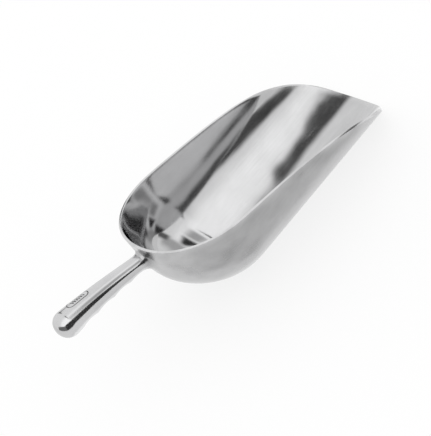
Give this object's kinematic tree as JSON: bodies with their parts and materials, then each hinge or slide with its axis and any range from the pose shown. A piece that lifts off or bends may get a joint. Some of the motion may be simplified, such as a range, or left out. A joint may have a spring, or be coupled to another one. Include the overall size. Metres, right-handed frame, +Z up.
{
  "type": "ice scoop",
  "caption": "Cast aluminium ice scoop: a deep round-bottomed bowl with a sloping pouring lip and a grip handle with finger grooves.",
  "frame": {"origin": "on the surface the scoop stands on, below the middle of its bounding box, in the mirror plane", "axes": "+X from the handle to the lip of the bowl, +Z up out of the bowl's mouth, +Y to the left, XZ is the mirror plane"},
  "size_m": [0.3708, 0.1324, 0.1125],
  "materials": {
    "bowl_aluminium": "polished inside, fine satin outside",
    "handle_aluminium": "polished"
  },
  "bodies": {
    "root": {"bowl": "bowl_aluminium", "handle": "handle_aluminium"}
  },
  "joints": []
}
